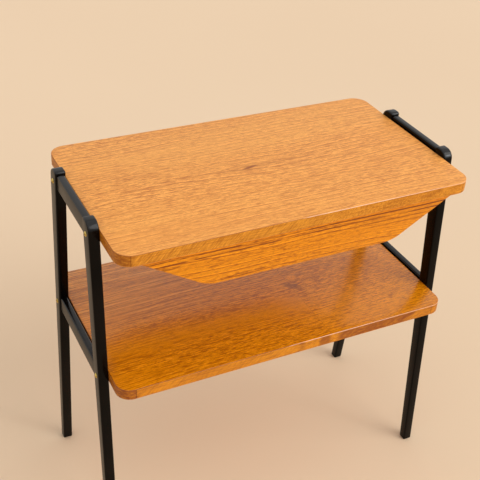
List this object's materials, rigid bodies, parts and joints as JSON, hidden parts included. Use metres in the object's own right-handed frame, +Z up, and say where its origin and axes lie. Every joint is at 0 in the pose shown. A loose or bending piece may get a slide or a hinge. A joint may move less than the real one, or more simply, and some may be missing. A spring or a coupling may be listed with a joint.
{
  "type": "sewing table",
  "caption": "Small teak sewing table with a shelf, black side frames, and a boat-shaped drawer of sliding trays hung under its top.",
  "frame": {"origin": "on the floor, under the middle of the table top", "axes": "+Z up, -Y the side on which the drawer opens, +X to the right when facing the drawer front"},
  "size_m": [0.5968, 0.315, 0.583],
  "materials": {
    "teak_top": "straight-grained teak veneer, warm orange brown, satin lacquer",
    "teak_shelf": "teak veneer, deeper orange brown, semi-gloss lacquer",
    "teak_edge": "teak lipping, golden brown, satin lacquer",
    "teak_front": "striped teak, saturated orange brown, satin lacquer",
    "teak_tray": "thin solid teak, oiled",
    "black_lacquer": "beech with black satin lacquer",
    "beech": "bare beech, sanded",
    "plywood": "birch plywood, clear lacquer",
    "brass": "solid brass, polished and slightly dulled",
    "steel": "zinc-plated steel screw"
  },
  "bodies": {
    "table": {"top_core": "teak_top", "top_lipping": "teak_edge", "shelf_core": "teak_shelf", "shelf_lipping": "teak_edge", "leg_front_left": "black_lacquer", "leg_front_right": "black_lacquer", "leg_rear_left": "black_lacquer", "leg_rear_right": "black_lacquer", "upper_rail_left": "black_lacquer", "upper_rail_right": "black_lacquer", "lower_rail_left": "black_lacquer", "lower_rail_right": "black_lacquer", "rail_dowels": "beech", "top_screws": "brass", "shelf_screws": "brass", "runner_spacer_left": "beech", "runner_spacer_right": "beech", "runner_ledge_left": "beech", "runner_ledge_right": "beech", "runner_screws": "steel", "front_stop": "beech", "rear_stop": "beech", "stop_screws": "steel"},
    "drawer": {"drawer_front": "teak_front", "drawer_back": "teak_front", "drawer_bottom": "plywood", "drawer_side_left": "teak_front", "drawer_side_right": "teak_front", "drawer_lip_left": "beech", "drawer_lip_right": "beech", "drawer_web_left": "beech", "drawer_web_right": "beech", "middle_divider": "plywood", "low_divider_left": "plywood", "low_divider_right": "plywood", "tray_ledge_front": "beech", "tray_ledge_rear": "beech"},
    "tray_left": {"tray_left_base": "plywood", "tray_left_outer_wall": "teak_tray", "tray_left_inner_wall": "teak_tray", "tray_left_front_wall": "teak_tray", "tray_left_rear_wall": "teak_tray", "tray_left_dividers": "plywood"},
    "tray_right": {"tray_right_base": "plywood", "tray_right_outer_wall": "teak_tray", "tray_right_inner_wall": "teak_tray", "tray_right_front_wall": "teak_tray", "tray_right_rear_wall": "teak_tray", "tray_right_dividers": "plywood"}
  },
  "joints": [
    {"name": "drawer_slide", "type": "slide", "parent": "table", "child": "drawer", "axis": [0, -1, 0], "range_m": [0, 0.2]},
    {"name": "tray_left_slide", "type": "slide", "parent": "drawer", "child": "tray_left", "axis": [1, 0, 0], "range_m": [0, 0.065]},
    {"name": "tray_right_slide", "type": "slide", "parent": "drawer", "child": "tray_right", "axis": [-1, 0, 0], "range_m": [0, 0.065]}
  ]
}
